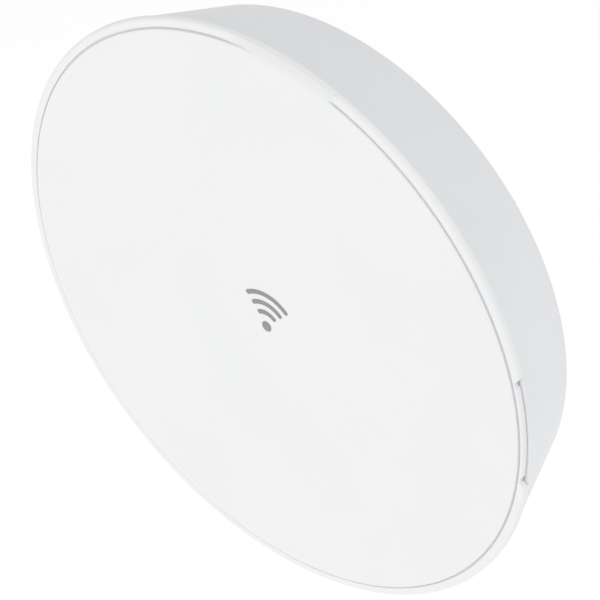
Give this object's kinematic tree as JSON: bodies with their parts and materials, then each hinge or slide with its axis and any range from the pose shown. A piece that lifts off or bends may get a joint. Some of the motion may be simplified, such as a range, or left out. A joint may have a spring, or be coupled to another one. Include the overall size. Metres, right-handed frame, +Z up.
{
  "type": "outdoor wireless bridge",
  "caption": "Outdoor point-to-point radio bridge: round dish with flat white radome, conical shroud, radio feed, rear housing and a tilting two-jaw pole mount.",
  "frame": {"origin": "centre of the clamped pole, at mid height of the clamp jaws", "axes": "+Z up along the pole, the dish looks along -Y, +X to the right seen from in front of the dish"},
  "size_m": [0.459, 0.2484, 0.459],
  "materials": {
    "radome_plastic": "fine satin moulded face, UV-stable white",
    "moulded_plastic": "satin moulded white",
    "coated_steel": "white powder coat, fine texture",
    "galvanised_steel": "hot-dip galvanised, dull",
    "plated_steel": "zinc plate, satin",
    "rubber": "matt",
    "aluminium": "turned and pressed, bare",
    "board_laminate": "solder mask on laminate",
    "clear_plastic": "clear, polished"
  },
  "bodies": {
    "pole_mount": {"clamp_bolt_left": "plated_steel", "clamp_bolt_right": "plated_steel", "pole_bracket": "galvanised_steel"},
    "jaw": {"clamp_jaw": "galvanised_steel", "clamp_nut_left": "plated_steel", "clamp_nut_right": "plated_steel"},
    "radome_cover": {"radome": "radome_plastic"},
    "port_door": {"port_cover": "moulded_plastic", "cable_grommet": "rubber"},
    "button": {"reset_button": "rubber"},
    "dish": {"dish_bracket": "galvanised_steel", "ethernet_jack": "plated_steel", "feed_cone": "moulded_plastic", "feed_end_cap": "moulded_plastic", "feed_tube": "moulded_plastic", "horn": "aluminium", "housing_bolt_1": "plated_steel", "housing_bolt_2": "plated_steel", "housing_bolt_3": "plated_steel", "housing_bolt_4": "plated_steel", "housing_gasket": "rubber", "housing_nut_1": "plated_steel", "housing_nut_2": "plated_steel", "housing_nut_3": "plated_steel", "housing_nut_4": "plated_steel", "lock_bolt_left": "plated_steel", "lock_bolt_right": "plated_steel", "lock_nut_left": "plated_steel", "lock_nut_right": "plated_steel", "main_board": "board_laminate", "pivot_bolt_left": "plated_steel", "pivot_bolt_right": "plated_steel", "pivot_nut_left": "plated_steel", "pivot_nut_right": "plated_steel", "radome_seal": "rubber", "rear_housing": "moulded_plastic", "reflector": "coated_steel", "shield_can": "plated_steel", "shroud": "coated_steel", "shroud_screw_1": "plated_steel", "shroud_screw_2": "plated_steel", "shroud_screw_3": "plated_steel", "shroud_screw_4": "plated_steel", "shroud_screw_5": "plated_steel", "shroud_screw_6": "plated_steel", "status_lens": "clear_plastic", "sub_reflector": "aluminium", "sub_reflector_cap": "moulded_plastic"}
  },
  "joints": [
    {"name": "clamp_slide", "type": "slide", "parent": "pole_mount", "child": "jaw", "axis": [0, 1, 0], "range_m": [0, 0.00693]},
    {"name": "tilt", "type": "hinge", "parent": "pole_mount", "child": "dish", "pos_m": [0, -0.04458, 0], "axis": [-1, 0, 0], "range_deg": [-15, 15]},
    {"name": "radome_lift", "type": "slide", "parent": "dish", "child": "radome_cover", "axis": [0, -1, 0], "range_m": [0, 0.06]},
    {"name": "cover_slide", "type": "slide", "parent": "dish", "child": "port_door", "axis": [0, 0, -1], "range_m": [0, 0.045]},
    {"name": "button_press", "type": "slide", "parent": "dish", "child": "button", "axis": [0, 0, 1], "range_m": [0, 0.0006], "stiffness_N_per_m": 600}
  ]
}
